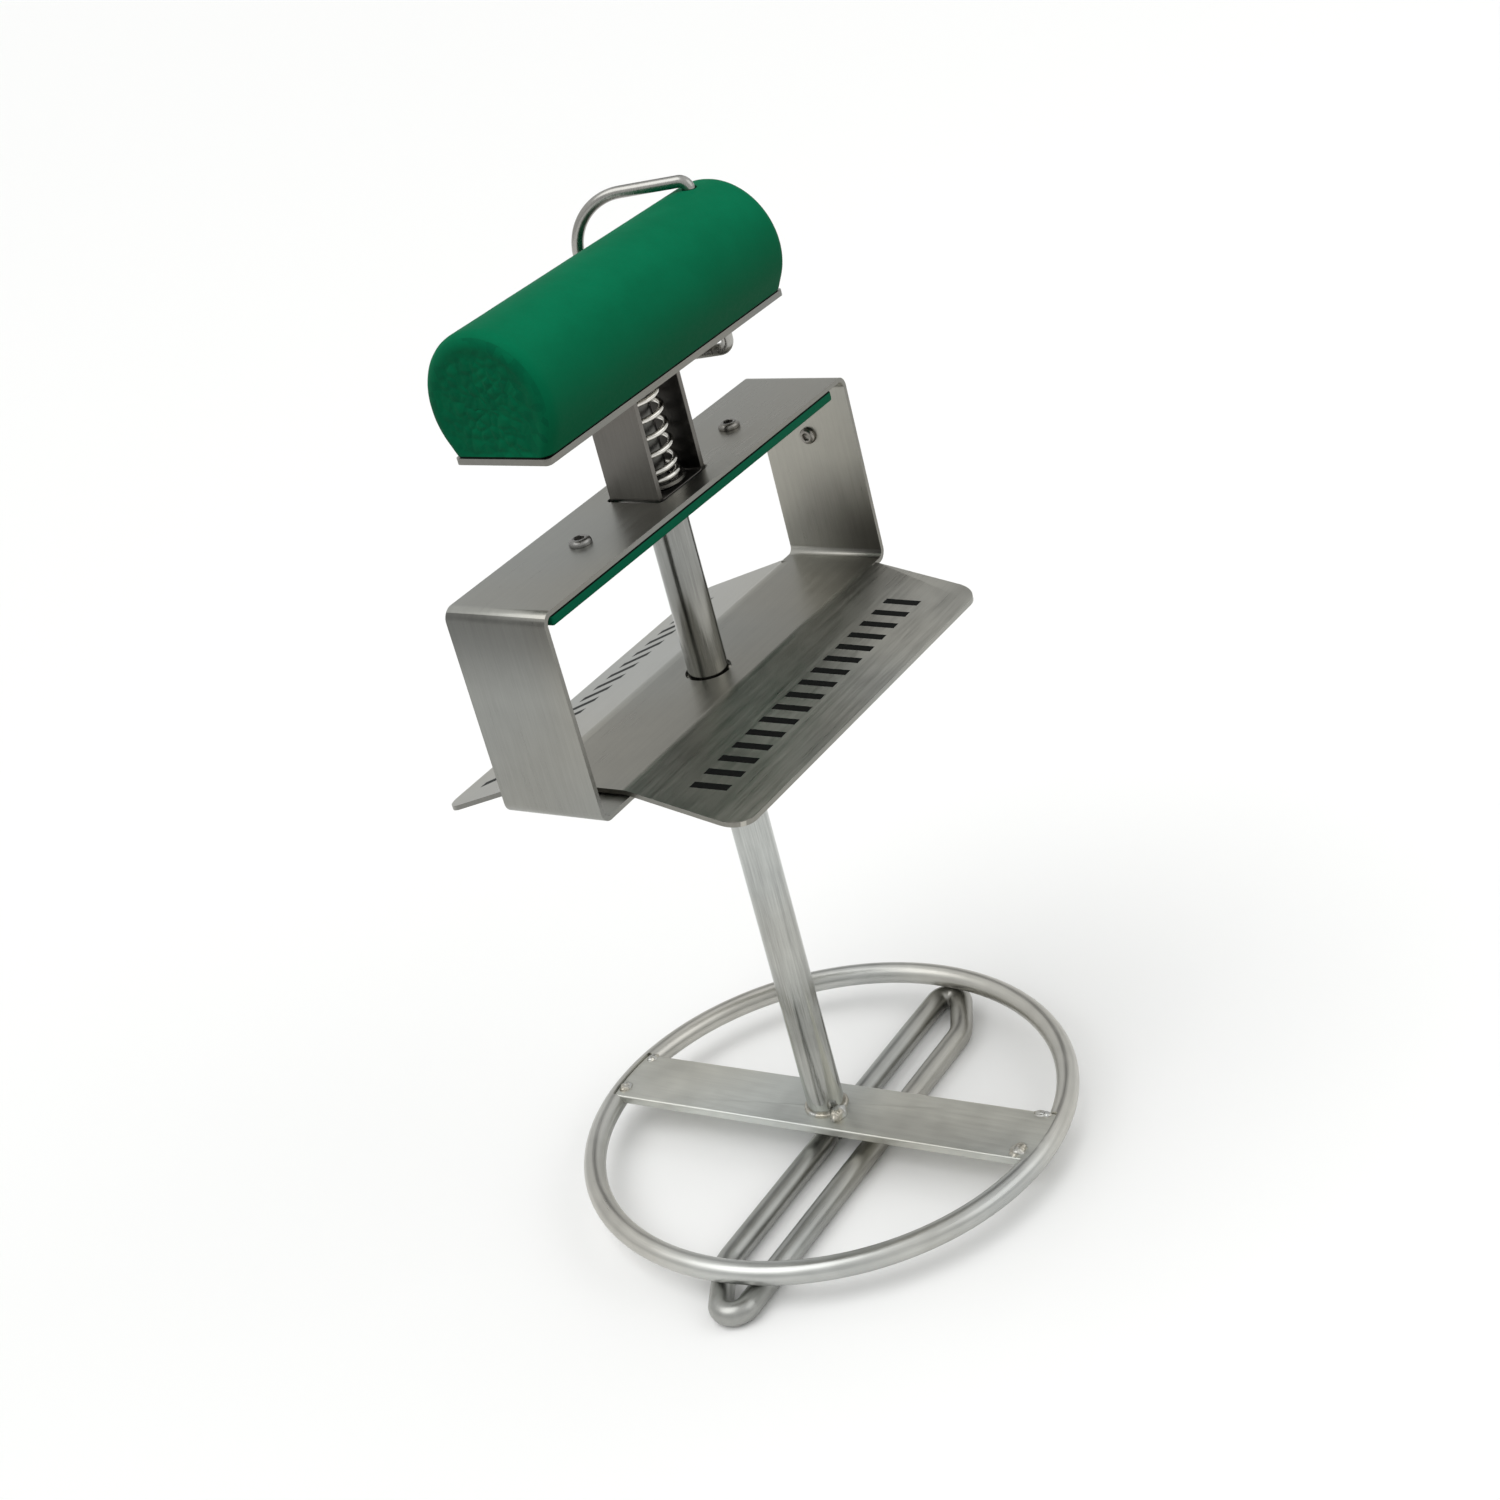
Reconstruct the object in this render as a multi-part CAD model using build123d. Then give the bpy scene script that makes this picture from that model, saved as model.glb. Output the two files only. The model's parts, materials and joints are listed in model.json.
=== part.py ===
from build123d import *

# Spring-loaded grill-grid lifter: palm grip over a folded finger frame with heat shield,
# guide tube, base ring and a sprung lifting loop. Millimetres, +Z up, tube axis on Z,
# the underside of the lifting loop on Z = 0, the grip along X and the front at -Y.

import os
from math import acos, atan2, cos, pi, radians, sin, sqrt, tan

# push rod and lifting loop, one length of rod
ROD_D = 6.3
LOOP_Z = ROD_D / 2
LOOP_SPACING = 14.3
LOOP_NEAR_SLANT_X = -56.0
LOOP_NEAR_CORNER_X = -83.5
LOOP_FAR_SLANT_X = 48.2
LOOP_FAR_CORNER_X = 75.8
LOOP_SLANT_R = 12.0
LOOP_END_R = 3.8
LOOP_TURN_DEG = 0.6
ROD_BEND_R = 6.4

# base ring
RING_D = 6.0
RING_R = 64.5
RING_Z = 9.5

# cross bar
BAR_W = 19.2
BAR_T = 2.5
BAR_TOP = 11.9
BAR_END = RING_R
BAR_TURN_DEG = 2.2
ROD_HOLE_D = 7.0
BEAD_R = 2.6
BEAD_Y = 60.6

# guide tube
TUBE_D = 10.0
TUBE_BORE = 7.0
TUBE_TOP = 194.8

# folded frame with heat shield
SHEET = 1.2
FRAME_W = 28.0
FRAME_X_NEAR = -66.2
FRAME_X_FAR = 64.2
FRAME_TOP = 194.0
FRAME_BEND_R = 3.0
SHIELD_TOP = 144.3
SHIELD_X_NEAR = -55.5
SHIELD_X_FAR = 59.4
SHIELD_FRONT = 43.4
SHIELD_FRONT_DROP = 6.9
SHIELD_BACK = 45.6
SHIELD_BACK_DROP = 11.3
SHIELD_FLAT_HALF = 13.0
SHIELD_BEND_R = 9.0
SHIELD_CORNER_R = 6.0
SHIELD_HOLE_D = 11.6
FLANGE_GAP = 0.4
FLANGE_END_X = -40.0
FLANGE_SPOT_X = -47.0
FLANGE_SPOT_Y = 8.0
FLANGE_SPOT_D = 5.0
STRAP_OVERLAP = 2.0
WINDOW_X = 21.3
WINDOW_Y = 16.2
WINDOW_R = 1.5

# finger pad and small fasteners
PAD_T = 2.8
PAD_EDGE_R = 0.6
PAD_WINDOW_PLAY = 0.6
PAD_X_NEAR = -63.1
PAD_X_FAR = 57.2
PAD_SCREW_X = 31.9
SCREW_HEAD_D = 5.4
SCREW_HEAD_H = 1.5
SCREW_SHANK_D = 3.4
SCREW_SOCKET = 2.8
LEG_SCREW_Z = 177.8
LEG_SCREW_HEAD_D = 4.4
LEG_SCREW_HEAD_H = 1.3
LEG_SCREW_SHANK_D = 3.0
LEG_SCREW_SOCKET = 2.2

# bracket, spring and seat washer
BRACKET_X = 19.5
BRACKET_Y = 14.4
BRACKET_BOTTOM = 192.4
BRACKET_SHEET = 1.5
BRACKET_BEND_R = 2.0
BRACKET_HOLE_D = 11.0
BRACKET_WELD = 1.6
WASHER_D = 14.0
WASHER_T = 0.8
SPRING_R = 5.6
SPRING_WIRE = 1.4
SPRING_PITCH = 4.3
SPRING_CLOSED_PITCH = 1.5
SPRING_CLOSED_TURNS = 0.85
SPRING_START_DEG = 190.0

# grip and its base plate
BASE_Z = 221.3
BASE_T = 1.5
BASE_HALF_W = 13.2
GRIP_X_NEAR = -49.2
GRIP_X_FAR = 48.6
GRIP_R = 17.1
GRIP_AXIS_Z = 234.5
GRIP_EDGE_R = 1.6

# hang loop
HANG_X = 39.7
HANG_WIRE = 3.0
HANG_HOLE_D = 3.6
HANG_TOP = 253.6
HANG_BOTTOM = 211.4
HANG_REACH = 31.0
HANG_TURN_DEG = 110.0
HANG_SMALL_R = 2.3
HANG_BIG_R = 14.0


def drill(x, y, z0, z1, diameter):
    """Round cutter along Z."""
    return Pos(x, y, (z0 + z1) / 2) * Cylinder(diameter / 2, z1 - z0)


def swept_rod(path, diameter):
    """Round bar swept along a path."""
    start = Plane(origin=path @ 0, z_dir=path % 0)
    return sweep(start * Circle(diameter / 2), path=path)


def obround_cutter(x_size, y_size, radius, z0, z1):
    """Rounded rectangular cutter along Z, centred on the tube axis."""
    return Pos(0, 0, z0) * extrude(RectangleRounded(x_size, y_size, radius), z1 - z0)


def strap(points, bend_radius, width):
    """Sheet strap: mid-line points in XZ, bent at every inner point, WIDTH along Y."""
    line = FilletPolyline(*points, radius=bend_radius)
    section = Plane.XZ * trace(line, line_width=SHEET)
    return extrude(section, amount=width / 2, both=True)


def build_folded_body():
    """Strap bent round the finger window, heat shield wings and tucked flange, one sheet."""
    half = SHEET / 2
    mid_r = FRAME_BEND_R - half
    shield_z = SHIELD_TOP - half
    flange_z = SHIELD_TOP - SHEET - FLANGE_GAP - half
    points = [
        (FLANGE_END_X, flange_z),
        (FRAME_X_NEAR + half, flange_z),
        (FRAME_X_NEAR + half, FRAME_TOP - half),
        (FRAME_X_FAR - half, FRAME_TOP - half),
        (FRAME_X_FAR - half, shield_z),
        (SHIELD_X_FAR - STRAP_OVERLAP, shield_z),
    ]
    body = strap(points, mid_r, FRAME_W)

    front_slope = SHIELD_FRONT_DROP / (SHIELD_FRONT - SHIELD_FLAT_HALF)
    back_slope = SHIELD_BACK_DROP / (SHIELD_BACK - SHIELD_FLAT_HALF)
    past_edge = 6.0
    wing_line = FilletPolyline(
        (-SHIELD_FRONT - past_edge, shield_z - SHIELD_FRONT_DROP - past_edge * front_slope),
        (-SHIELD_FLAT_HALF, shield_z),
        (SHIELD_FLAT_HALF, shield_z),
        (SHIELD_BACK + past_edge, shield_z - SHIELD_BACK_DROP - past_edge * back_slope),
        radius=SHIELD_BEND_R,
    )
    section = Plane.YZ * trace(wing_line, line_width=SHEET)
    length = SHIELD_X_FAR - SHIELD_X_NEAR
    wings = Pos(SHIELD_X_NEAR, 0, 0) * extrude(section, amount=length)
    outline = RectangleRounded(length, SHIELD_FRONT + SHIELD_BACK, SHIELD_CORNER_R)
    centre = Pos((SHIELD_X_NEAR + SHIELD_X_FAR) / 2, (SHIELD_BACK - SHIELD_FRONT) / 2, 100)
    mask = extrude(centre * outline, 60)
    body += wings & mask

    body -= drill(0, 0, SHIELD_TOP - 5, SHIELD_TOP + 3, SHIELD_HOLE_D)
    body -= obround_cutter(WINDOW_X, WINDOW_Y, WINDOW_R, FRAME_TOP - 4, FRAME_TOP + 4)
    for x in (-PAD_SCREW_X, PAD_SCREW_X):
        body -= drill(x, 0, FRAME_TOP - 4, FRAME_TOP + 4, SCREW_SHANK_D)
    leg_hole = Pos(FRAME_X_FAR, 0, LEG_SCREW_Z) * Rot(0, 90, 0) * Cylinder(LEG_SCREW_SHANK_D / 2, 8)
    return body - leg_hole


def build_flange_welds():
    """Spot welds closing the narrow gap between the tucked flange and the shield."""
    z0 = SHIELD_TOP - SHEET - FLANGE_GAP
    spots = (-FLANGE_SPOT_Y, FLANGE_SPOT_Y)
    return [drill(FLANGE_SPOT_X, y, z0, z0 + FLANGE_GAP, FLANGE_SPOT_D) for y in spots]


def build_finger_pad():
    """Soft strip under the top of the frame, open where the bracket passes."""
    length = PAD_X_FAR - PAD_X_NEAR
    top = FRAME_TOP - SHEET
    pad = Pos((PAD_X_NEAR + PAD_X_FAR) / 2, 0, top - PAD_T / 2) * Box(length, FRAME_W, PAD_T)
    lower_edges = pad.faces().sort_by(Axis.Z)[0].edges()
    pad = fillet(lower_edges, PAD_EDGE_R)
    play = PAD_WINDOW_PLAY
    pad -= obround_cutter(WINDOW_X + play, WINDOW_Y + play, WINDOW_R, top - 6, top + 1)
    for x in (-PAD_SCREW_X, PAD_SCREW_X):
        pad -= drill(x, 0, top - 6, top + 1, SCREW_SHANK_D)
    return pad


def build_button_screw(head_d, head_h, shank_d, shank_length, socket_d):
    """Low button-head screw with a round-bottomed socket, seat on Z = 0, shank down -Z."""
    radius = head_d / 2
    flat = head_d * 0.26
    profile = Polyline(
        (0, 0),
        (radius, 0),
        (radius, head_h * 0.3),
        (radius * 0.86, head_h * 0.72),
        (flat + 0.25, head_h),
        (0, head_h),
        close=True,
    )
    head = revolve(Plane.XZ * make_face(profile), Axis.Z)
    socket = Pos(0, 0, head_h * 0.35) * extrude(RegularPolygon(socket_d / 2, 6), head_h)
    shank = Pos(0, 0, -shank_length / 2) * Cylinder(shank_d / 2, shank_length)
    return head - socket + shank


def build_pad_screws():
    """Two button screws through the frame top and the pad."""
    length = SHEET + PAD_T
    screw = build_button_screw(SCREW_HEAD_D, SCREW_HEAD_H, SCREW_SHANK_D, length, SCREW_SOCKET)
    return [Pos(x, 0, FRAME_TOP) * screw for x in (-PAD_SCREW_X, PAD_SCREW_X)]


def build_leg_screw():
    """Small button fastener on the inner face of the far leg."""
    screw = build_button_screw(LEG_SCREW_HEAD_D, LEG_SCREW_HEAD_H, LEG_SCREW_SHANK_D, SHEET,
                               LEG_SCREW_SOCKET)
    return Pos(FRAME_X_FAR - SHEET, 0, LEG_SCREW_Z) * Rot(0, -90, 0) * screw


def build_base_ring():
    """Round-wire ring, notched where the cross bar is let into it."""
    ring = Pos(0, 0, RING_Z) * Torus(RING_R, RING_D / 2)
    notch_height = 10.0
    notch = Box(BAR_W, 3 * RING_R, notch_height) & Cylinder(BAR_END, notch_height)
    lift = BAR_TOP - BAR_T + notch_height / 2
    return ring - Pos(0, 0, lift) * Rot(0, 0, BAR_TURN_DEG) * notch


def build_cross_bar():
    """Flat bar let into the ring, ends on the ring's centre line."""
    bar = Pos(0, 0, BAR_TOP - BAR_T / 2) * Box(BAR_W, 2 * BAR_END, BAR_T)
    bar &= Pos(0, 0, BAR_TOP - BAR_T / 2) * Cylinder(BAR_END, BAR_T)
    return Rot(0, 0, BAR_TURN_DEG) * bar - drill(0, 0, 0, 30, ROD_HOLE_D)


def build_bar_welds():
    """Weld beads in the four corners between the bar's sides and the ring."""
    corners = [(x, y) for x in (-1, 1) for y in (-1, 1)]
    bead = Pos(0, 0, BAR_TOP - BAR_T / 2) * Sphere(BEAD_R)
    turn = Rot(0, 0, BAR_TURN_DEG)
    return [turn * Pos(x * (BAR_W / 2 + 0.5), y * BEAD_Y, 0) * bead for x, y in corners]


def build_guide_tube():
    """Plain tube from the cross bar up through the shield to the bracket."""
    length = TUBE_TOP - BAR_TOP
    tube = Pos(0, 0, BAR_TOP + length / 2) * Cylinder(TUBE_D / 2, length)
    tube -= drill(0, 0, BAR_TOP - 1, TUBE_TOP + 1, TUBE_BORE)
    outer = tube.edges().filter_by(GeomType.CIRCLE).sort_by(Axis.Z)[-2:].sort_by(SortBy.RADIUS)[-1]
    return chamfer(outer, 0.3)


def ring_fillet(radius, height, leg, z, up=True):
    """Triangular weld fillet round the tube or rod, standing on or hanging from Z."""
    rise = height if up else -height
    profile = Polyline((radius, z), (radius + leg, z), (radius + leg * 0.45, z + rise * 0.45),
                       (radius, z + rise), close=True)
    return revolve(Plane.XZ * make_face(profile), Axis.Z)


def build_spring_washer():
    """Flat seat washer on the tube's top end."""
    washer = Pos(0, 0, TUBE_TOP + WASHER_T / 2) * Cylinder(WASHER_D / 2, WASHER_T)
    return washer - drill(0, 0, TUBE_TOP - 1, TUBE_TOP + 3, TUBE_BORE)


def spring_height(turns, total, lift):
    """Height of the wire centre above the spring's first coil after a number of turns."""
    closed = SPRING_CLOSED_TURNS
    low = min(turns, closed) * SPRING_CLOSED_PITCH
    high = max(0.0, turns - (total - closed)) * SPRING_CLOSED_PITCH
    middle = min(max(turns - closed, 0.0), total - 2 * closed) * lift
    return low + middle + high


def build_return_spring():
    """Compression spring with closed ends between the washer and the base plate."""
    z0 = TUBE_TOP + WASHER_T + SPRING_WIRE / 2
    z1 = BASE_Z - SPRING_WIRE / 2
    closed_rise = 2 * SPRING_CLOSED_TURNS * SPRING_CLOSED_PITCH
    active = (z1 - z0 - closed_rise) / SPRING_PITCH
    total = active + 2 * SPRING_CLOSED_TURNS
    steps = int(total * 16)
    points = []
    for i in range(steps + 1):
        turns = total * i / steps
        angle = radians(SPRING_START_DEG) + 2 * pi * turns
        z = z0 + spring_height(turns, total, SPRING_PITCH)
        points.append((SPRING_R * cos(angle), SPRING_R * sin(angle), z))
    path = Spline(*points)
    return swept_rod(path, SPRING_WIRE)


def build_bracket():
    """U-shaped strap whose web slides over the tube through the frame's window."""
    half = BRACKET_SHEET / 2
    x = BRACKET_X / 2 - half
    z = BRACKET_BOTTOM + half
    line = FilletPolyline((-x, BASE_Z), (-x, z), (x, z), (x, BASE_Z), radius=BRACKET_BEND_R - half)
    section = Plane.XZ * trace(line, line_width=BRACKET_SHEET)
    bracket = extrude(section, amount=BRACKET_Y / 2, both=True)
    return bracket - drill(0, 0, BRACKET_BOTTOM - 1, BRACKET_BOTTOM + 3, BRACKET_HOLE_D)


def build_bracket_welds():
    """Fillet weld along the outside of each bracket leg under the base plate."""
    welds = []
    leg = BRACKET_WELD
    for side in (-1, 1):
        x = side * BRACKET_X / 2
        profile = Polyline((x, BASE_Z), (x + side * leg, BASE_Z),
                           (x + side * leg * 0.45, BASE_Z - leg * 0.5), (x, BASE_Z - leg),
                           close=True)
        welds.append(extrude(Plane.XZ * make_face(profile), amount=BRACKET_Y / 2 - 0.6, both=True))
    return welds


def build_base_plate():
    """Flat plate closing the underside of the grip."""
    length = GRIP_X_FAR - GRIP_X_NEAR
    outline = RectangleRounded(length, 2 * BASE_HALF_W, 1.2)
    plate = Pos((GRIP_X_NEAR + GRIP_X_FAR) / 2, 0, BASE_Z) * extrude(outline, BASE_T)
    plate -= drill(0, 0, BASE_Z - 1, BASE_Z + BASE_T + 1, ROD_D)
    return plate - drill(HANG_X, 0, BASE_Z - 1, BASE_Z + BASE_T + 1, HANG_HOLE_D)


def build_grip():
    """Round grip with straight flanks running down to its flat base."""
    base_z = BASE_Z + BASE_T
    drop = GRIP_AXIS_Z - base_z
    half = BASE_HALF_W
    reach = sqrt(half * half + drop * drop)
    angle = acos(GRIP_R / reach) - atan2(drop, half)
    tangent = (GRIP_R * cos(angle), GRIP_R * sin(angle) + GRIP_AXIS_Z)
    round_part = Pos(0, GRIP_AXIS_Z) * Circle(GRIP_R)
    below = Pos(0, base_z - 20) * Rectangle(80, 40)
    flanks = make_face(Polyline((-half, base_z), (half, base_z), tangent,
                                (-tangent[0], tangent[1]), close=True))
    section = Plane.YZ * (round_part - below + flanks)
    grip = Pos(GRIP_X_NEAR, 0, 0) * extrude(section, amount=GRIP_X_FAR - GRIP_X_NEAR)
    ends = grip.faces().filter_by(Axis.X)
    rim = [e for face in ends for e in face.edges() if e.center().Z > base_z + 0.5]
    grip = fillet(rim, GRIP_EDGE_R)
    return grip - drill(HANG_X, 0, base_z - 1, GRIP_AXIS_Z + GRIP_R + 1, HANG_HOLE_D)


def build_hook_rod():
    """Push rod bent at the foot into a flat loop with skewed ends, one length of rod."""
    bend = ROD_BEND_R
    down = Line((0, 0, BASE_Z + BASE_T - LOOP_Z), (0, 0, bend))
    elbow = ThreePointArc((0, 0, bend), (bend * (sqrt(0.5) - 1), 0, bend * (1 - sqrt(0.5))),
                          (-bend, 0, 0))
    corners = [
        (LOOP_NEAR_SLANT_X, 0),
        (LOOP_NEAR_CORNER_X, -LOOP_SPACING),
        (LOOP_FAR_SLANT_X, -LOOP_SPACING),
        (LOOP_FAR_CORNER_X, 0),
    ]
    radii = [LOOP_SLANT_R, LOOP_END_R, LOOP_SLANT_R, LOOP_END_R]
    rod = None
    for piece in [down, elbow] + rounded_route((-bend, 0), corners, radii, (0, 0)):
        bar = swept_rod(piece, ROD_D)
        rod = bar if rod is None else rod + bar
    return Pos(0, 0, LOOP_Z) * Rot(0, 0, LOOP_TURN_DEG) * rod


def build_hook_weld():
    """Weld closing the loop's return end against the rod's elbow."""
    return Pos(2.2, 0, LOOP_Z + 2.4) * Sphere(3.4)


def build_hang_loop():
    """Closed wire bail through the grip, turned about its upright in the grip's hole."""
    middle = (0, (HANG_TOP + HANG_BOTTOM) / 2)
    corners = [(0, HANG_TOP), (HANG_REACH, HANG_TOP), (HANG_REACH, HANG_BOTTOM), (0, HANG_BOTTOM)]
    radii = [HANG_SMALL_R, HANG_BIG_R, HANG_BIG_R, HANG_SMALL_R]
    loop = None
    for piece in rounded_route(middle, corners, radii, middle):
        bar = swept_rod(Plane.XZ * piece, HANG_WIRE)
        loop = bar if loop is None else loop + bar
    return Pos(HANG_X, 0, 0) * Rot(0, 0, HANG_TURN_DEG) * loop


def rounded_route(start, corners, radii, end):
    """Lines and arcs from START past each rounded corner to END, in the XY plane."""
    pieces = []
    here = Vector(*start)
    after = [Vector(*p) for p in corners[1:]] + [Vector(*end)]
    before = [Vector(*start)] + [Vector(*p) for p in corners[:-1]]
    for corner, last, following, radius in zip(corners, before, after, radii):
        corner = Vector(*corner)
        back = (last - corner).normalized()
        ahead = (following - corner).normalized()
        half_angle = radians(back.get_angle(ahead)) / 2
        reach = radius / tan(half_angle)
        enter = corner + back * reach
        leave = corner + ahead * reach
        middle = corner + (back + ahead).normalized() * (radius / sin(half_angle) - radius)
        pieces.append(Line(here, enter))
        pieces.append(ThreePointArc(enter, middle, leave))
        here = leave
    pieces.append(Line(here, Vector(*end)))
    return pieces


def main():
    os.makedirs("parts", exist_ok=True)
    rod = build_hook_rod()
    foot_weld = ring_fillet(TUBE_D / 2, 1.8, 1.9, BAR_TOP)
    shield_weld = ring_fillet(TUBE_D / 2, 2.6, 3.0, SHIELD_TOP - SHEET, up=False)
    rod_weld = ring_fillet(ROD_D / 2, 1.4, 1.4, BASE_Z, up=False)
    nodes = {
        "folded_body": build_folded_body(),
        "flange_welds": Compound(children=build_flange_welds()),
        "finger_pad": build_finger_pad(),
        "pad_screws": Compound(children=build_pad_screws()),
        "leg_screw": build_leg_screw(),
        "guide_tube": build_guide_tube(),
        "tube_foot_weld": foot_weld,
        "shield_weld": shield_weld,
        "base_ring": build_base_ring(),
        "cross_bar": build_cross_bar(),
        "bar_welds": Compound(children=build_bar_welds()),
        "spring_washer": build_spring_washer(),
        "return_spring": build_return_spring(),
        "u_bracket": build_bracket(),
        "bracket_welds": Compound(children=build_bracket_welds()),
        "grip_base_plate": build_base_plate(),
        "grip": build_grip(),
        "hook_rod": rod,
        "hook_weld": build_hook_weld() - rod,
        "rod_top_weld": rod_weld,
        "hang_loop": build_hang_loop(),
    }
    for name, shape in nodes.items():
        export_step(shape, f"parts/{name}.step")
        print(name, len(shape.solids()), round(shape.volume))


main()
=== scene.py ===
import json
from math import acos, atan2, cos, hypot, pi, radians, sin

import bmesh
import bpy
from mathutils import Euler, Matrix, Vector, noise


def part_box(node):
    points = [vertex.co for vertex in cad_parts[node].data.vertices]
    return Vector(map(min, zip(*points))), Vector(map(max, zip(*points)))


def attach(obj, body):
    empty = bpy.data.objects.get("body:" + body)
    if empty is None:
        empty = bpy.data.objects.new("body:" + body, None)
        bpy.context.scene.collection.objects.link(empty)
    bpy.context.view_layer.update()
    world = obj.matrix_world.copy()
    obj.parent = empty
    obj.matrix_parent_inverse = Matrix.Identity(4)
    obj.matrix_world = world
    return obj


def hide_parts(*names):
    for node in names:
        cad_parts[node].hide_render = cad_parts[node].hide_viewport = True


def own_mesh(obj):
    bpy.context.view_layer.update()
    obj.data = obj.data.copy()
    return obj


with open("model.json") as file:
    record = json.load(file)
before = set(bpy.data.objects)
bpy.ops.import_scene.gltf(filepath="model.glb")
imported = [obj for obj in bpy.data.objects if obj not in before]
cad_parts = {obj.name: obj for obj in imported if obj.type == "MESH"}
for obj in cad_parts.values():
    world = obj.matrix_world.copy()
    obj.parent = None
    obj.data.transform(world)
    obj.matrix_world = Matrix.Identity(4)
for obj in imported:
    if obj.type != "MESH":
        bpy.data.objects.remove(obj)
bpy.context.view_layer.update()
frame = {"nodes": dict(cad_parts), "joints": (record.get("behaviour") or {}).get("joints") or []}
MM = 0.001

# ---------------------------------------------------------------- node helpers


def new_material(name):
    """Empty Principled material: (material, tree, shader)."""
    material = bpy.data.materials.new(name)
    material.use_nodes = True
    tree = material.node_tree
    return material, tree, tree.nodes["Principled BSDF"]


def feed(tree, socket, value):
    """Links a socket to another socket, or sets its value."""
    if isinstance(value, bpy.types.NodeSocket):
        tree.links.new(value, socket)
    else:
        socket.default_value = value


def calc(tree, operation, *values):
    """Math node's output."""
    made = tree.nodes.new("ShaderNodeMath")
    made.operation = operation
    for socket, value in zip(made.inputs, values):
        feed(tree, socket, value)
    return made.outputs[0]


def stretch(tree, vector, scale):
    """Vector multiplied by scale, one number per axis."""
    made = tree.nodes.new("ShaderNodeVectorMath")
    made.operation = "MULTIPLY"
    feed(tree, made.inputs[0], vector)
    made.inputs[1].default_value = scale
    return made.outputs[0]


def fog(tree, vector, scale, detail=2.0, roughness=0.5):
    """Noise texture's grey output, about 0.5 on average."""
    made = tree.nodes.new("ShaderNodeTexNoise")
    feed(tree, made.inputs["Vector"], vector)
    made.inputs["Scale"].default_value = scale
    made.inputs["Detail"].default_value = detail
    made.inputs["Roughness"].default_value = roughness
    return made.outputs["Fac"]


def ramp(tree, value, low, high):
    """Value taken smoothly from 0 at low to 1 at high."""
    made = tree.nodes.new("ShaderNodeMapRange")
    made.interpolation_type = "SMOOTHSTEP"
    feed(tree, made.inputs["Value"], value)
    made.inputs["From Min"].default_value = low
    made.inputs["From Max"].default_value = high
    return made.outputs["Result"]


def mix_colour(tree, factor, first, second):
    """Colour between first and second."""
    made = tree.nodes.new("ShaderNodeMix")
    made.data_type = "RGBA"
    feed(tree, made.inputs[0], factor)
    feed(tree, made.inputs[6], first)
    feed(tree, made.inputs[7], second)
    return made.outputs[2]


def around(tree, value, middle, swing):
    """middle + swing * (2 * value - 1)."""
    return calc(tree, "MULTIPLY_ADD", value, 2 * swing, middle - swing)


def bump(tree, height, depth):
    """Bump of the given depth in metres."""
    made = tree.nodes.new("ShaderNodeBump")
    feed(tree, made.inputs["Height"], height)
    made.inputs["Strength"].default_value = 1.0
    made.inputs["Distance"].default_value = depth
    return made.outputs["Normal"]


def facing(tree):
    """Surface direction in the object's frame, split into X, Y and Z."""
    parts = tree.nodes.new("ShaderNodeSeparateXYZ")
    feed(tree, parts.inputs[0], tree.nodes.new("ShaderNodeTexCoord").outputs["Normal"])
    return parts.outputs


def between(tree, value, low, high):
    """1 where value lies between low and high, 0 elsewhere."""
    return calc(tree, "MULTIPLY", calc(tree, "GREATER_THAN", value, low),
                calc(tree, "LESS_THAN", value, high))


GRAIN_ALONG = 45.0
GRAIN_ACROSS = 1900.0


def grain_vector(tree, place, split, grain):
    """Texture space in which noise is drawn out along the brushing direction."""
    along, across = GRAIN_ALONG, GRAIN_ACROSS
    if grain == "x":
        return stretch(tree, place, (along, across, across))
    if grain == "y":
        return stretch(tree, place, (across, along, across))
    if grain == "z":
        return stretch(tree, place, (across, across, along))
    if grain == "strap":
        flat = stretch(tree, place, (along, across, across))
        upright = stretch(tree, place, (across, across, along))
        on_leg = calc(tree, "GREATER_THAN", calc(tree, "ABSOLUTE", facing(tree)["X"]), 0.7)
        made = tree.nodes.new("ShaderNodeMix")
        made.data_type = "VECTOR"
        feed(tree, made.inputs[0], on_leg)
        feed(tree, made.inputs[4], flat)
        feed(tree, made.inputs[5], upright)
        return made.outputs[1]
    radius = calc(tree, "SQRT", calc(tree, "ADD", calc(tree, "MULTIPLY", split["X"], split["X"]),
                                     calc(tree, "MULTIPLY", split["Y"], split["Y"])))
    angle = calc(tree, "ARCTAN2", split["Y"], split["X"])
    made = tree.nodes.new("ShaderNodeCombineXYZ")
    feed(tree, made.inputs["X"], calc(tree, "MULTIPLY", radius, across))
    feed(tree, made.inputs["Y"], calc(tree, "MULTIPLY", angle, 3.0))
    feed(tree, made.inputs["Z"], calc(tree, "MULTIPLY", split["Z"], across))
    return made.outputs[0]


# ---------------------------------------------------------------- materials


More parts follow.
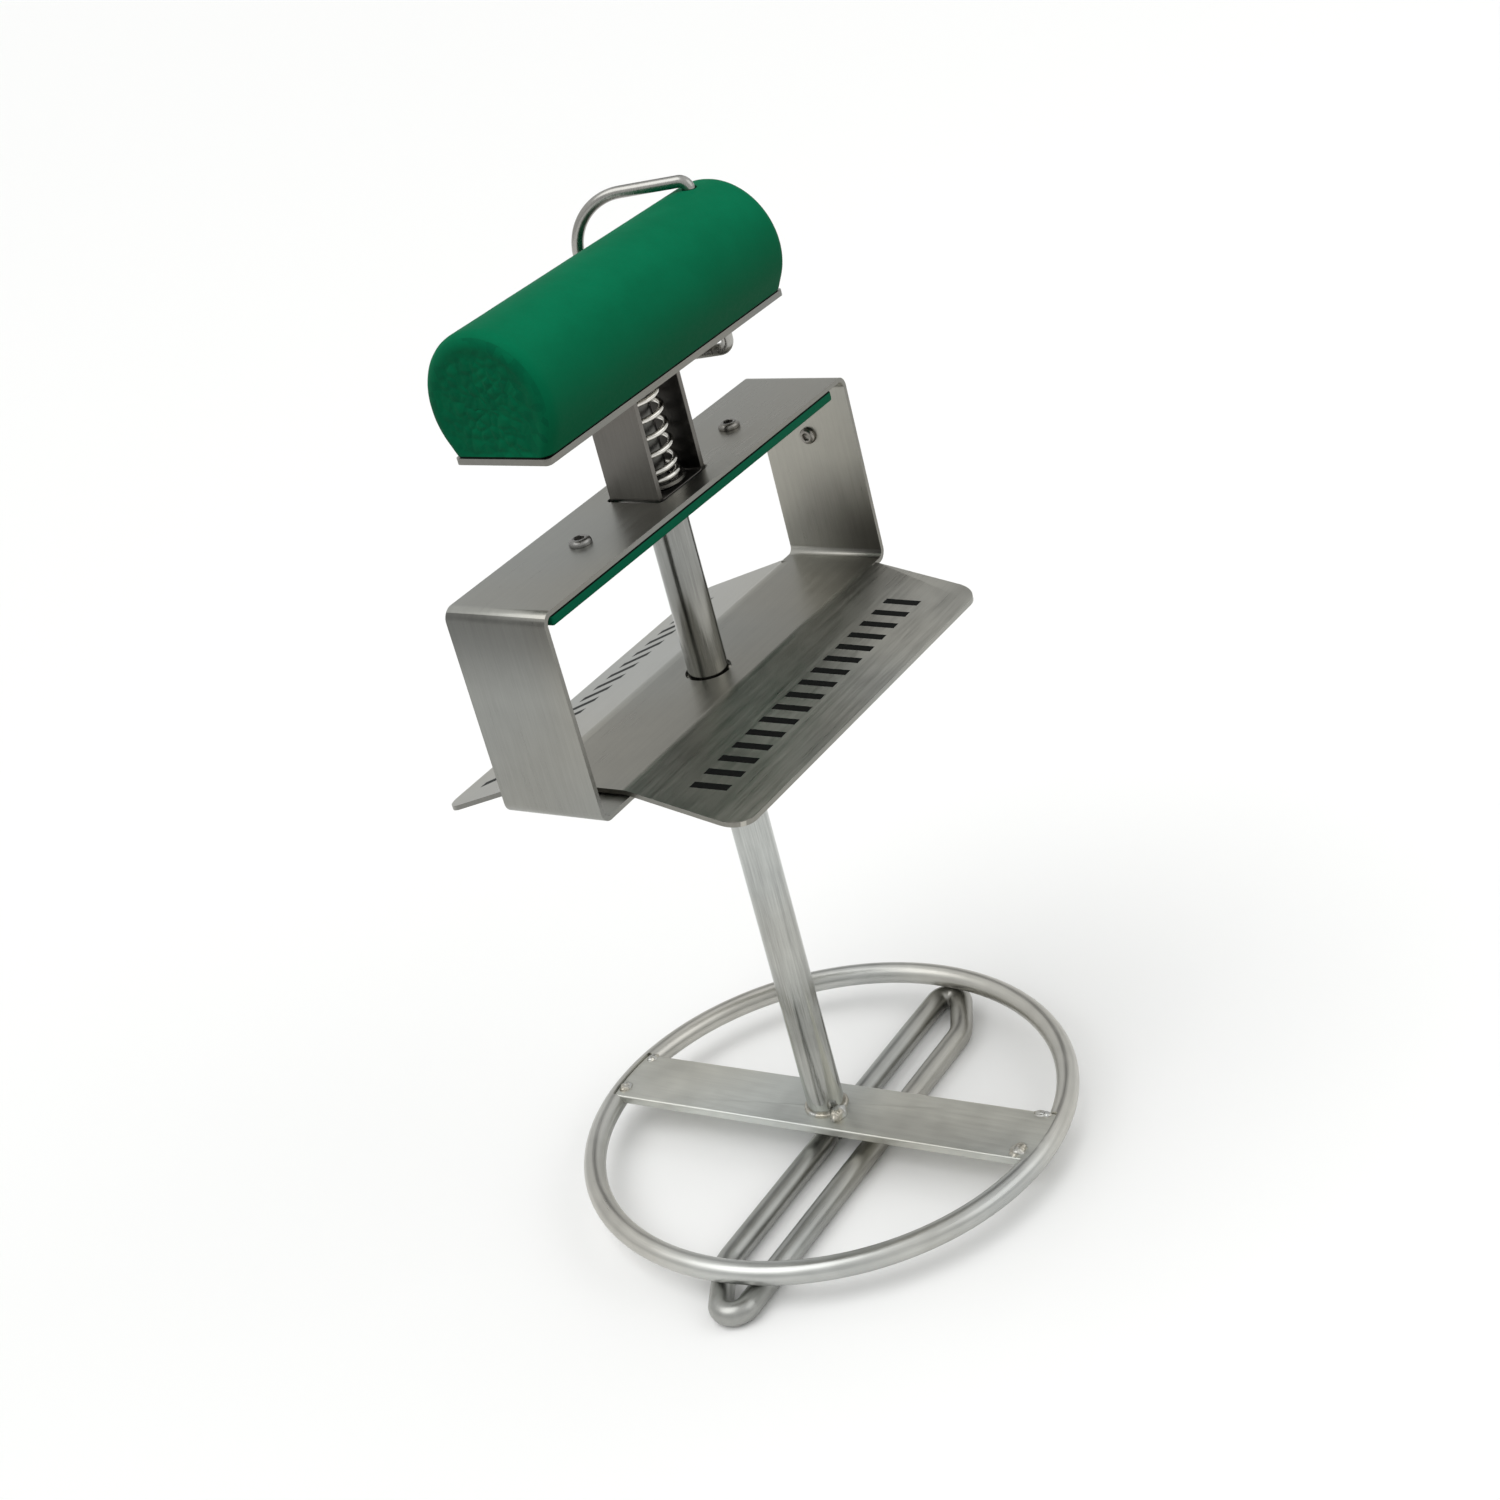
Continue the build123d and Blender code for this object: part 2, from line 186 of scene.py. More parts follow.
def steel(name, tint, roughness, grain, streak=0.1, blotch=0.08, tone=None, etched=None):
    """Brushed stainless steel: drawn-out grain, faint smudges, fine scratches, soft edge shine."""
    material, tree, shader = new_material(name)
    place = tree.nodes.new("ShaderNodeTexCoord").outputs["Object"]
    parts = tree.nodes.new("ShaderNodeSeparateXYZ")
    feed(tree, parts.inputs[0], place)
    split = parts.outputs
    brushed = grain_vector(tree, place, split, grain)
    fine = fog(tree, brushed, 2.4, detail=3.0, roughness=0.6)
    broad = fog(tree, brushed, 0.45, detail=2.0)
    smudge = fog(tree, place, 38.0, detail=3.0, roughness=0.6)
    cloud = fog(tree, place, 15.0, detail=1.0)

    lines = calc(tree, "ADD", calc(tree, "MULTIPLY", fine, 0.6), calc(tree, "MULTIPLY", broad, 0.4))
    lines = ramp(tree, lines, 0.3, 0.7)
    shade = around(tree, lines, 1.0, streak)
    shade = calc(tree, "MULTIPLY", shade, around(tree, ramp(tree, smudge, 0.3, 0.7), 1.0, blotch))
    warm = mix_colour(tree, ramp(tree, cloud, 0.35, 0.65), tint,
                      [tint[0] * 1.03, tint[1] * 0.985, tint[2] * 0.93, 1.0])
    if tone is not None:
        shade = calc(tree, "MULTIPLY", shade, tone(tree, split))
    scaled = tree.nodes.new("ShaderNodeVectorMath")
    scaled.operation = "SCALE"
    feed(tree, scaled.inputs[0], warm)
    feed(tree, scaled.inputs["Scale"], shade)
    colour = scaled.outputs[0]
    rough = calc(tree, "ADD", around(tree, lines, roughness, 0.05),
                 around(tree, smudge, 0.0, 0.09))
    if etched is not None:
        mark = etched(tree, split)
        colour = mix_colour(tree, mark, colour, (0.012, 0.013, 0.012, 1.0))
        rough = calc(tree, "MAXIMUM", rough, calc(tree, "MULTIPLY", mark, 0.62))
    feed(tree, shader.inputs["Base Color"], colour)
    feed(tree, shader.inputs["Roughness"], rough)
    shader.inputs["Metallic"].default_value = 1.0
    feed(tree, shader.inputs["Normal"], bump(tree, lines, 0.006 * MM))
    return material


def weld_metal(name, tint, roughness):
    """Weld bead: bright, pitted and lightly heat tinted."""
    material, tree, shader = new_material(name)
    place = tree.nodes.new("ShaderNodeTexCoord").outputs["Object"]
    pits = fog(tree, place, 900.0, detail=4.0, roughness=0.65)
    cloud = fog(tree, place, 260.0, detail=2.0)
    straw = mix_colour(tree, ramp(tree, cloud, 0.38, 0.62), tint,
                       [tint[0] * 0.9, tint[1] * 0.84, tint[2] * 0.74, 1.0])
    feed(tree, shader.inputs["Base Color"], straw)
    feed(tree, shader.inputs["Roughness"], around(tree, pits, roughness, 0.14))
    shader.inputs["Metallic"].default_value = 1.0
    feed(tree, shader.inputs["Normal"], bump(tree, pits, 0.12 * MM))
    return material


def rubber(name, under, deep, lit, cell, crease_shade_z):
    """Matte moulded rubber: fine pores, cloudy colour, painted shade on downward faces, coarse end
    cells, painted shade band at the crease.
    """
    material, tree, shader = new_material(name)
    place = tree.nodes.new("ShaderNodeTexCoord").outputs["Object"]
    parts = tree.nodes.new("ShaderNodeSeparateXYZ")
    feed(tree, parts.inputs[0], place)
    normal = facing(tree)
    pores = fog(tree, place, 1500.0, detail=3.0, roughness=0.6)
    cloud = fog(tree, place, 60.0, detail=3.0, roughness=0.6)
    tone = calc(tree, "ADD", calc(tree, "MULTIPLY", ramp(tree, cloud, 0.25, 0.75), 0.75),
                calc(tree, "MULTIPLY", ramp(tree, pores, 0.3, 0.7), 0.25))
    # Painted shade: downward faces take the darker under colour.
    colour = mix_colour(tree, ramp(tree, normal["Z"], -0.5, 1.0), under,
                        mix_colour(tree, tone, deep, lit))
    cells = tree.nodes.new("ShaderNodeTexVoronoi")
    feed(tree, cells.inputs["Vector"], place)
    cells.inputs["Scale"].default_value = 1.0 / cell
    tint = tree.nodes.new("ShaderNodeSeparateColor")
    feed(tree, tint.inputs[0], cells.outputs["Color"])
    on_end = calc(tree, "GREATER_THAN", calc(tree, "ABSOLUTE", normal["X"]), 0.75)
    speck = calc(tree, "MULTIPLY", on_end, calc(tree, "MULTIPLY", tint.outputs[0], 0.34))
    colour = mix_colour(tree, speck, colour, (0.0, 0.035, 0.018, 1.0))
    # Painted shade: a dark band along the crease where the rubber meets the steel.
    colour = mix_colour(tree, between(tree, parts.outputs["Z"], *crease_shade_z), colour,
                        (0.002, 0.006, 0.004, 1.0))
    feed(tree, shader.inputs["Base Color"], colour)
    feed(tree, shader.inputs["Roughness"], around(tree, pores, 0.6, 0.1))
    shader.inputs["Specular IOR Level"].default_value = 0.03
    rise = calc(tree, "ADD", calc(tree, "MULTIPLY", pores, 0.6),
                calc(tree, "MULTIPLY", cells.outputs["Distance"], 0.5))
    feed(tree, shader.inputs["Normal"], bump(tree, rise, 0.05 * MM))
    return material


DASH_PITCH = 6.0 * MM
DASH_COUNT = 16
DASH_SHARE = 0.42
DASH_ROWS_Y = ((-33.0 * MM, -25.0 * MM), (31.0 * MM, 39.0 * MM))
DASH_LEAN = 0.35


def etched_dashes(tree, split):
    """Plain row of leaning dashes on the upper side of each wing: 1 on a dash, 0 elsewhere."""
    upper = calc(tree, "GREATER_THAN", facing(tree)["Z"], 0.3)
    half_row = DASH_PITCH * (DASH_COUNT - 1 + DASH_SHARE) / 2
    marks = None
    for low, high in DASH_ROWS_Y:
        leaning = calc(tree, "MULTIPLY_ADD", split["Y"], DASH_LEAN, split["X"])
        start = half_row - DASH_LEAN * (low + high) / 2
        count = calc(tree, "DIVIDE", calc(tree, "ADD", leaning, start), DASH_PITCH)
        dash = calc(tree, "LESS_THAN", calc(tree, "FRACT", count), DASH_SHARE)
        inside = between(tree, count, 0.0, DASH_COUNT - 0.5)
        row = between(tree, split["Y"], low, high)
        mark = calc(tree, "MULTIPLY", calc(tree, "MULTIPLY", dash, inside), row)
        marks = mark if marks is None else calc(tree, "ADD", marks, mark)
    on_wing = calc(tree, "LESS_THAN", split["Z"], 144.5 * MM)
    return calc(tree, "MULTIPLY", calc(tree, "MULTIPLY", marks, upper), on_wing)


# Places of the folded sheet's painted shade and painted light.
NEAR_LEG_X = -62.0 * MM
FAR_LEG_X = 61.0 * MM
NEAR_TOP_PAINTED_SHADE_Z = (170.0 * MM, 192.0 * MM)
FAR_FOOT_PAINTED_SHADE_Z = (149.0 * MM, 174.0 * MM)
FAR_FOOT_PAINTED_SHADE_Y = (-12.0 * MM, 16.0 * MM)
FRONT_WING_Y = (14.0 * MM, 34.0 * MM)
WING_X = (-60.0 * MM, 60.0 * MM)
# Heights of the painted shade on the tube and the rod.
TUBE_PAINTED_SHADE_Z = (105.0 * MM, 155.0 * MM)
INSIDE_BRACKET_Z = 190.0 * MM


def sheet_painted_shade(tree, split):
    """Painted shade on the side faces, wing ends and legs (darkest near one bend each), painted light
    on the front wing outward.
    """
    normal = facing(tree)
    # Painted shade: faces turned along Y, and the wing ends, are darkened by their facing direction.
    on_side = calc(tree, "GREATER_THAN", calc(tree, "ABSOLUTE", normal["Y"]), 0.85)
    along = calc(tree, "GREATER_THAN", calc(tree, "ABSOLUTE", normal["X"]), 0.7)
    near_leg = calc(tree, "LESS_THAN", split["X"], NEAR_LEG_X)
    far_leg = calc(tree, "GREATER_THAN", split["X"], FAR_LEG_X)
    on_leg = calc(tree, "MULTIPLY", along, calc(tree, "ADD", near_leg, far_leg))
    wing_edge = calc(tree, "SUBTRACT", along, on_leg)
    # Painted shade: the near leg darkens towards its top bend and the far leg towards its foot.
    top = calc(tree, "MULTIPLY", near_leg, ramp(tree, split["Z"], *NEAR_TOP_PAINTED_SHADE_Z))
    low = calc(tree, "SUBTRACT", 1.0, ramp(tree, split["Z"], *FAR_FOOT_PAINTED_SHADE_Z))
    right = calc(tree, "SUBTRACT", 1.0, ramp(tree, split["Y"], *FAR_FOOT_PAINTED_SHADE_Y))
    foot = calc(tree, "MULTIPLY", far_leg, calc(tree, "MULTIPLY", low, right))
    # Painted shade: the whole near leg is darker.
    shade = calc(tree, "MULTIPLY_ADD", calc(tree, "MULTIPLY", near_leg, along), -0.2, 1.0)
    # Painted light: the front wing is brighter towards its front edge and far end.
    front = ramp(tree, calc(tree, "MULTIPLY", split["Y"], -1.0), *FRONT_WING_Y)
    far = ramp(tree, split["X"], *WING_X)
    wing = calc(tree, "MULTIPLY", front, calc(tree, "MULTIPLY_ADD", far, 0.35, 0.15))
    shade = calc(tree, "MULTIPLY", shade, calc(tree, "ADD", wing, 1.0))
    for share, depth in ((calc(tree, "MULTIPLY", top, on_leg), 0.5),
                         (calc(tree, "MULTIPLY", foot, on_leg), 0.75),
                         (on_side, 0.45), (wing_edge, 0.45)):
        shade = calc(tree, "MULTIPLY", shade, calc(tree, "MULTIPLY_ADD", share, -depth, 1.0))
    return shade


def edge_painted_shade(tree, split):
    """Painted shade: the plate's side faces all round are darker than its top and bottom."""
    on_edge = calc(tree, "LESS_THAN", calc(tree, "ABSOLUTE", facing(tree)["Z"]), 0.5)
    return calc(tree, "MULTIPLY_ADD", on_edge, -0.45, 1.0)


def tube_painted_shade(tree, split):
    """Painted shade: the tube darkens upwards from below the shield, and much darker inside the
    bracket.
    """
    painted_shade_band = ramp(tree, split["Z"], *TUBE_PAINTED_SHADE_Z)
    hidden = calc(tree, "GREATER_THAN", split["Z"], INSIDE_BRACKET_Z)
    shade = calc(tree, "MULTIPLY_ADD", painted_shade_band, -0.41, 1.0)
    return calc(tree, "MULTIPLY", shade, calc(tree, "MULTIPLY_ADD", hidden, -0.7, 1.0))


def rod_painted_shade(tree, split):
    """Painted shade: the rod's upper end is dark inside the spring."""
    hidden = calc(tree, "GREATER_THAN", split["Z"], INSIDE_BRACKET_Z)
    return calc(tree, "MULTIPLY_ADD", hidden, -0.72, 1.0)


def bracket_painted_shade(tree, split):
    """Painted shade: the bracket's inner side by the far leg is darker than its outside."""
    inner = calc(tree, "MULTIPLY", calc(tree, "GREATER_THAN", split["X"], 5.0 * MM),
                 calc(tree, "LESS_THAN", facing(tree)["X"], -0.5))
    return calc(tree, "MULTIPLY_ADD", inner, -0.6, 1.0)


SHEET = steel("brushed_sheet", (0.355, 0.36, 0.34, 1), 0.33, "strap", 0.07, 0.06, sheet_painted_shade,
              etched_dashes)
PLATE = steel("brushed_plate", (0.34, 0.345, 0.325, 1), 0.33, "x", 0.08, 0.05, edge_painted_shade)
BRACKET = steel("brushed_bracket", (0.135, 0.132, 0.125, 1), 0.36, "z", 0.08, 0.1,
                bracket_painted_shade)
BAR = steel("brushed_bar", (0.6, 0.62, 0.595, 1), 0.42, "y", 0.05, 0.1)
TUBE = steel("drawn_tube", (0.41, 0.42, 0.405, 1), 0.2, "z", 0.2, 0.1, tube_painted_shade)
RING = steel("satin_ring", (0.49, 0.5, 0.485, 1), 0.33, "ring", 0.06, 0.12)
ROD = steel("satin_rod", (0.36, 0.366, 0.352, 1), 0.34, "x", 0.07, 0.12, rod_painted_shade)
HANGER = steel("satin_wire", (0.36, 0.36, 0.345, 1), 0.26, "z", 0.07, 0.08)
SPRING = steel("spring_wire", (0.62, 0.62, 0.6, 1), 0.16, "ring", 0.05, 0.05)
FASTENER = steel("fastener", (0.24, 0.237, 0.228, 1), 0.28, "ring", 0.08, 0.1)
WELD = weld_metal("weld_bead", (0.5, 0.505, 0.49, 1), 0.3)
# The under colour is painted shade for downward faces; the last pair is the height of the painted
# crease shade.
GRIP_RUBBER = rubber("green_grip", (0.0, 0.062, 0.025, 1), (0.0001, 0.128, 0.055, 1),
                     (0.0006, 0.158, 0.07, 1), 2.6 * MM, (222.0 * MM, 223.3 * MM))
PAD_RUBBER = rubber("green_pad", (0.0, 0.07, 0.034, 1), (0.0001, 0.085, 0.04, 1),
                    (0.0004, 0.105, 0.05, 1), 2.2 * MM, (192.3 * MM, 194.0 * MM))

# ---------------------------------------------------------------- mesh helpers


def make_object(name, points, faces, material, smooth=True):
    """Mesh object in the row frame."""
    mesh = bpy.data.meshes.new(name)
    mesh.from_pydata([tuple(p) for p in points], [], faces)
    mesh.validate()
    mesh.update()
    work = bmesh.new()
    work.from_mesh(mesh)
    bmesh.ops.recalc_face_normals(work, faces=work.faces)
    work.to_mesh(mesh)
    work.free()
    mesh.polygons.foreach_set("use_smooth", [smooth] * len(mesh.polygons))
    made = bpy.data.objects.new(name, mesh)
    bpy.context.scene.collection.objects.link(made)
    made.data.materials.append(material)
    return made


def settle(obj):
    """Applies an object's modifiers to its mesh."""
    graph = bpy.context.evaluated_depsgraph_get()
    mesh = bpy.data.meshes.new_from_object(obj.evaluated_get(graph))
    obj.modifiers.clear()
    obj.data = mesh
    return obj


def cut(obj, cutter):
    """Takes cutter out of obj and removes cutter."""
    modifier = obj.modifiers.new("cut", "BOOLEAN")
    modifier.operation = "DIFFERENCE"
    modifier.solver = "EXACT"
    modifier.object = cutter
    bpy.context.view_layer.update()
    settle(obj)
    bpy.data.objects.remove(cutter)
    return obj


def smooth_by_angle(obj, degrees):
    """Smooth shading with sharp edges kept above an angle."""
    obj.data.polygons.foreach_set("use_smooth", [True] * len(obj.data.polygons))
    obj.data.set_sharp_from_angle(angle=radians(degrees))
    return obj


def pin(name, x, y, z0, z1, radius, sides=40):
    """Closed upright cylinder used as a cutter."""
    points = []
    for z in (z0, z1):
        for i in range(sides):
            turn = 2 * pi * i / sides
            points.append((x + radius * cos(turn), y + radius * sin(turn), z))
    faces = [[i, (i + 1) % sides, sides + (i + 1) % sides, sides + i] for i in range(sides)]
    faces.append(list(range(sides))[::-1])
    faces.append(list(range(sides, 2 * sides)))
    return make_object(name, points, faces, WELD, smooth=False)


def loft(rings, around_end=False):
    """Points and faces joining equal rings of points, capped or joined round in a circle."""
    count = len(rings[0])
    points = [p for ring in rings for p in ring]
    faces = []
    last = len(rings) if around_end else len(rings) - 1
    for r in range(last):
        here, there = r * count, ((r + 1) % len(rings)) * count
        for i in range(count):
            j = (i + 1) % count
            faces.append([here + i, here + j, there + j, there + i])
    if not around_end:
        faces.append(list(range(count))[::-1])
        faces.append([(len(rings) - 1) * count + i for i in range(count)])
    return points, faces


def wire_rings(route, radius, sides, swell):
    """Rings round a route of points, for a round wire or a bead of uneven width."""
    up = Vector((0, 0, 1))
    rings = []
    for k, here in enumerate(route):
        before = route[max(k - 1, 0)]
        after = route[min(k + 1, len(route) - 1)]
        ahead = (after - before).normalized()
        side = ahead.cross(up).normalized()
        top = side.cross(ahead).normalized()
        size = radius * swell(k)
        ring = []
        for i in range(sides):
            turn = 2 * pi * i / sides
            ring.append(here + side * (size * cos(turn)) + top * (size * sin(turn)))
        rings.append(ring)
    return rings


def finish_piece(obj, body, slot, *nodes):
    """Rides on a body and stands for CAD nodes; slot is not used."""
    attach(obj, body)
    if nodes:
        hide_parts(*nodes)
    return obj


# ---------------------------------------------------------------- grip


GRIP_END_ROUND = 3.2 * MM
GRIP_FOOT_ROUND = 0.9 * MM
GRIP_PEBBLE = 2.7 * MM
GRIP_PEBBLE_RISE = 0.3 * MM
GRIP_HOLE_R = 1.85 * MM


def grip_profile(radius, axis_z, base_z, half_base, spacing):
    """Round top, straight flanks, rounded foot and flat base, as (y, z) points."""
    drop = axis_z - base_z
    low = acos(radius / hypot(half_base, drop)) - atan2(drop, half_base)
    turn = pi - 2 * low
    steps = int(radius * turn / spacing)
    outline = []
    for i in range(steps + 1):
        angle = low + turn * i / steps
        outline.append((radius * cos(angle), axis_z + radius * sin(angle)))
    first_y, first_z = outline[0]
    start = GRIP_FOOT_ROUND / hypot(first_y - half_base, first_z - base_z)
    flank = []
    for t in (start, 0.3, 0.45, 0.6, 0.8):
        flank.append((half_base + (first_y - half_base) * t, base_z + (first_z - base_z) * t))
    inner = half_base - GRIP_FOOT_ROUND
    foot = []
    for t in (0.0, 0.25, 0.5, 0.75):
        y = inner * (1 - t) ** 2 + half_base * 2 * t * (1 - t) + flank[0][0] * t * t
        z = base_z * (1 - t * t) + flank[0][1] * t * t
        foot.append((y, z))
    side = foot + flank
    across = int(2 * inner / spacing)
    base = [(-inner + 2 * inner * i / across, base_z) for i in range(1, across)]
    return outline + [(-y, z) for y, z in side[::-1]] + base + side


def pebble(x, y, z):
    """Height of the moulded end's bumps, 0 to 1."""
    wobble = 0.2 * noise.noise(Vector((y, z, x)) * 400.0)
    near, _ = noise.voronoi(Vector((y / GRIP_PEBBLE, z / GRIP_PEBBLE, x * 40.0)))
    edge = (near[1] - near[0]) / 0.6
    return max(0.0, min(1.0, edge)) ** 0.6 + wobble


def grip_end_face(outline, low_z, height, radius, edge_x, inward, seed):
    """Rings from the middle of the pebbled end face out to its rounded rim."""
    face_rings = 34
    middle = height * 0.42
    shrink_y = 1 - GRIP_END_ROUND / radius
    shrink_z = 1 - GRIP_END_ROUND / height
    face = []
    for k in range(1, face_rings + 1):
        share = k / face_rings
        fade = min(1.0, (face_rings - k) / 4)
        ring = []
        for y, z in outline:
            fy = y * shrink_y * share
            fz = low_z + middle + ((z - low_z) * shrink_z - middle) * share
            lift = GRIP_PEBBLE_RISE * (1 - pebble(seed, fy, fz)) * fade
            ring.append((edge_x + inward * lift, fy, max(fz, low_z)))
        face.append(ring)
    return face


def grip_rim(outline, low_z, height, radius, edge_x, inward):
    """Rings round the end's rounded rim, from the end face to the full section."""
    steps = 7
    rim = []
    for i in range(1, steps + 1):
        turn = pi / 2 * i / steps
        x = edge_x + inward * GRIP_END_ROUND * (1 - cos(turn))
        shrink = GRIP_END_ROUND * (1 - sin(turn))
        rim.append([(x, y * (1 - shrink / radius), low_z + (z - low_z) * (1 - shrink / height))
                    for y, z in outline])
    return rim


def build_grip():
    """Soft round grip with pebbled ends and the hanger's hole."""
    low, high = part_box("grip")
    _, base_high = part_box("grip_base_plate")
    radius = (high.y - low.y) / 2
    height = high.z - low.z
    outline = grip_profile(radius, high.z - radius, low.z, base_high.y, 0.7 * MM)
    near_end = (outline, low.z, height, radius, low.x, 1)
    far_end = (outline, low.z, height, radius, high.x, -1)
    rings = grip_end_face(*near_end, 0.0) + grip_rim(*near_end)
    steps = 70
    x0, x1 = low.x + GRIP_END_ROUND, high.x - GRIP_END_ROUND
    for s in range(1, steps):
        x = x0 + (x1 - x0) * s / steps
        ring = []
        for y, z in outline:
            soft = 0.07 * MM * noise.noise(Vector((x, y, z)) * 70.0)
            lift = soft * min(1.0, (z - low.z) / (4 * MM))
            ring.append((x, y * (1 + lift / radius), z + lift * 0.5))
        rings.append(ring)
    rings += grip_rim(*far_end)[::-1] + grip_end_face(*far_end, 10.0)[::-1]
    points, faces = loft(rings)
    grip = make_object("soft_grip", points, faces, GRIP_RUBBER)
    joint = [j for j in frame["joints"] if j["name"] == "hanger_swing"][0]
    hole_x = joint["pos_m"][0]
    cut(grip, pin("cutter", hole_x, 0.0, low.z - 1 * MM, high.z + 1 * MM, GRIP_HOLE_R))
    smooth_by_angle(grip, 50)
    return finish_piece(grip, "grip_unit", "grip_rubber", "grip")


# ---------------------------------------------------------------- finger pad


def rounded_block(name, low, high, edge, segments, material):
    """Block with rounded edges."""
    work = bmesh.new()
    bmesh.ops.create_cube(work, size=1.0)
    centre, size = (low + high) / 2, high - low
    for v in work.verts:
        v.co = Vector((centre.x + v.co.x * size.x, centre.y + v.co.y * size.y,
                       centre.z + v.co.z * size.z))
    bmesh.ops.bevel(work, geom=work.edges[:], offset=edge, segments=segments, profile=0.5,
                    affect="EDGES")
    mesh = bpy.data.meshes.new(name)
    work.to_mesh(mesh)
    work.free()
    made = bpy.data.objects.new(name, mesh)
    bpy.context.scene.collection.objects.link(made)
    made.data.materials.append(material)
    return made


PAD_EDGE = 0.7 * MM
PAD_SHANK_R = 1.7 * MM
PAD_WINDOW_SLACK = (1.4 * MM, 1.2 * MM, 0)


def build_pad():
    """Soft strip with rounded edges, open for the bracket and the two screws."""
    low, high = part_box("finger_pad")
    pad = rounded_block("finger_pad_rubber", low, high, PAD_EDGE, 4, PAD_RUBBER)
    bracket_low, bracket_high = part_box("u_bracket")
    slack = Vector(PAD_WINDOW_SLACK)
    window_low = Vector((bracket_low.x, bracket_low.y, low.z - 2 * MM)) - slack
    window_high = Vector((bracket_high.x, bracket_high.y, high.z + 2 * MM)) + slack
    cut(pad, rounded_block("cutter", window_low, window_high, 1.4 * MM, 4, PAD_RUBBER))
    screws_low, screws_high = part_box("pad_screws")
    head = (screws_high.y - screws_low.y) / 2
    for x in (screws_low.x + head, screws_high.x - head):
        cut(pad, pin("cutter", x, 0.0, low.z - 1 * MM, high.z + 1 * MM, PAD_SHANK_R + 0.1 * MM))
    smooth_by_angle(pad, 40)
    finish_piece(pad, "frame", "grip_rubber", "finger_pad")
    return pad


# ---------------------------------------------------------------- return spring


SPRING_WIRE = 1.4 * MM
SPRING_PITCH = 4.3 * MM
SPRING_CLOSED_PITCH = 1.5 * MM
SPRING_CLOSED_TURNS = 0.85
SPRING_START = radians(190)
SPRING_STEPS = 40


def spring_rise(turns, total):
    """Height of the wire above its first point after a number of turns."""
    low = min(turns, SPRING_CLOSED_TURNS) * SPRING_CLOSED_PITCH
    high = max(0.0, turns - (total - SPRING_CLOSED_TURNS)) * SPRING_CLOSED_PITCH
    middle = min(max(turns - SPRING_CLOSED_TURNS, 0.0), total - 2 * SPRING_CLOSED_TURNS)
    return low + middle * SPRING_PITCH + high


def build_spring():
    """Coil spring from the washer to the base plate."""
    low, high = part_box("return_spring")
    _, washer_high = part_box("spring_washer")
    plate_low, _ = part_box("grip_base_plate")
    radius = (high.x - low.x) / 2 - SPRING_WIRE / 2
    z0 = washer_high.z + SPRING_WIRE / 2
    z1 = plate_low.z - SPRING_WIRE / 2
    closed = 2 * SPRING_CLOSED_TURNS
    total = (z1 - z0 - closed * SPRING_CLOSED_PITCH) / SPRING_PITCH + closed
    steps = int(total * SPRING_STEPS)
    route = []
    for i in range(steps + 1):
        turns = total * i / steps
        angle = SPRING_START + 2 * pi * turns
        route.append(Vector((radius * cos(angle), radius * sin(angle), z0 + spring_rise(turns, total))))

    def taper(k):
        """Ground ends: the wire thins over its last sixth of a turn."""
        left = min(k, steps - k) / (SPRING_STEPS / 6)
        return min(1.0, 0.55 + 0.45 * left)

    points, faces = loft(wire_rings(route, SPRING_WIRE / 2, 14, taper))
    spring = make_object("coil_spring", points, faces, SPRING)
    finish_piece(spring, "frame", "spring_steel", "return_spring")
    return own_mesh(spring)


# ---------------------------------------------------------------- welds


def ripple(place, k, length):
    """Width of a rippled weld bead at step k: overlapping crescents, slightly uneven."""
    crest = 1 - k % length / length
    return 0.87 + 0.19 * crest ** 0.5 + 0.12 * noise.noise(place * 650.0)


def build_ring_bead(name, node, body, radius, z, size, extra=()):
    """Weld bead round the tube axis, with any extra nuggets."""
    rings = []
    for k in range(108):
        angle = 2 * pi * k / 108
        out = Vector((cos(angle), sin(angle), 0))
        here = out * radius + Vector((0, 0, z))
        spread = size * ripple(here, k, 6)
        ring = []
        for i in range(12):
            turn = 2 * pi * i / 12
            rise = Vector((0, 0, spread * 0.8 * sin(turn)))
            ring.append(here + out * (spread * cos(turn)) + rise)
        rings.append(ring)
    points, faces = join_parts([loft(rings, around_end=True), *extra])
    made = make_object(name, points, faces, WELD)
    return finish_piece(made, body, "weld_steel", node)


def nugget(centre, size, seed, squash):
    """Points and faces of a lumpy weld nugget with ripple rings."""
    work = bmesh.new()
    bmesh.ops.create_icosphere(work, subdivisions=4, radius=1.0)
    for v in work.verts:
        direction = v.co.normalized()
        lump = 0.16 * noise.noise(direction * 1.7 + Vector((seed, 0, 0)))
        ripple = 0.035 * sin(18 * direction.x + 4 * seed)
        pit = 0.03 * noise.noise(direction * 7.0 + Vector((0, seed, 0)))
        reach = size * (1 + lump + ripple + pit)
        v.co = centre + Vector((direction.x * squash[0], direction.y * squash[1],
                                direction.z * squash[2])) * reach
    points = [v.co.copy() for v in work.verts]
    faces = [[v.index for v in f.verts] for f in work.faces]
    work.free()
    return points, faces


def join_parts(parts):
    """One list of points and faces from several."""
    points, faces = [], []
    for some_points, some_faces in parts:
        start = len(points)
        points += some_points
        faces += [[start + i for i in face] for face in some_faces]
    return points, faces


FOOT_BEAD = 0.75 * MM
FOOT_BLOB_PLACE = (-3.6 * MM, -6.0 * MM, 0.7 * MM)
FOOT_BLOB = 2.3 * MM
SHIELD_BEAD = 1.9 * MM
ROD_BEAD = 0.95 * MM
ROD_BEAD_R = 3.45 * MM


